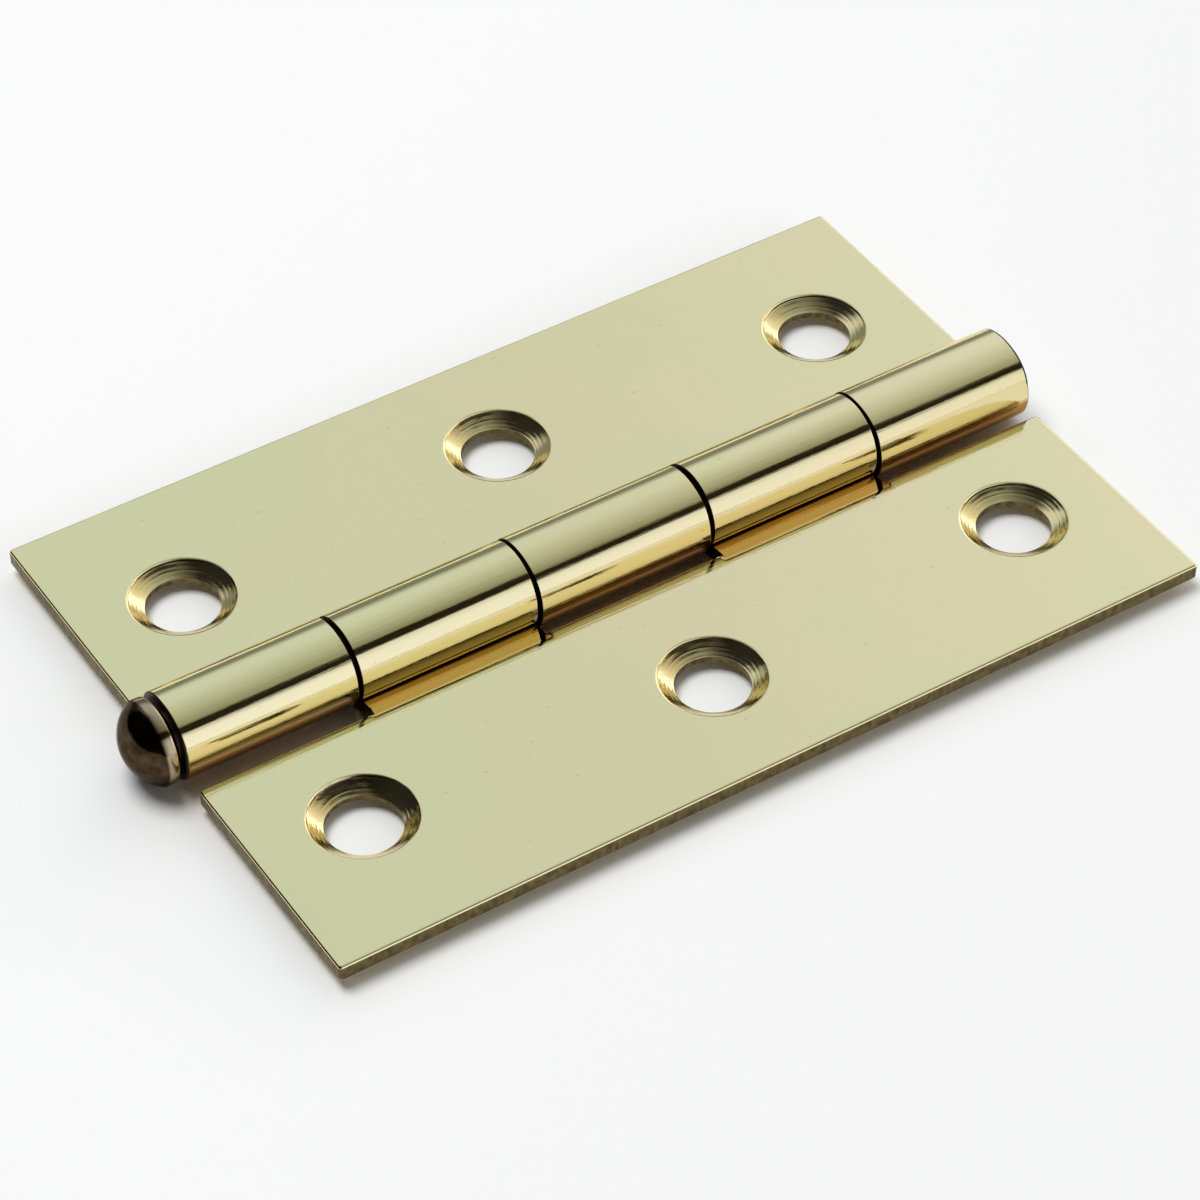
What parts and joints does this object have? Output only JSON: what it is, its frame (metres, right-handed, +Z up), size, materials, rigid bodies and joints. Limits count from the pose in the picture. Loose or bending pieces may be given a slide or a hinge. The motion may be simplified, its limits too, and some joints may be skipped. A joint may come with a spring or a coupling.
{
  "type": "door hinge",
  "caption": "Butt hinge of two pressed, brass-plated leaves with rolled interleaving knuckles, countersunk screw holes and a loose pin with a domed head.",
  "frame": {"origin": "under the pin axis, on the surface that the barrel lies on, halfway along the whole hinge with the pin's head", "axes": "+X along the pin, away from its head; +Y from the pin towards the rear leaf's outer edge; +Z up, out of the countersunk side"},
  "size_m": [0.0784, 0.05, 0.007],
  "materials": {
    "leaf_plating": "bright electro-brassed steel",
    "pin_plating": "bright electro-brassed steel, darker"
  },
  "bodies": {
    "rear leaf": {"rear_leaf": "leaf_plating"},
    "front leaf": {"front_leaf": "leaf_plating"},
    "pin": {"hinge_pin": "pin_plating"}
  },
  "joints": [
    {"name": "leaf_swing", "type": "hinge", "parent": "rear leaf", "child": "front leaf", "pos_m": [0, 0, 0.0035], "axis": [-1, 0, 0], "range_deg": [-115, 185]},
    {"name": "pin_draw", "type": "slide", "parent": "rear leaf", "child": "pin", "axis": [-1, 0, 0], "range_m": [-0.0003, 0.078]}
  ]
}
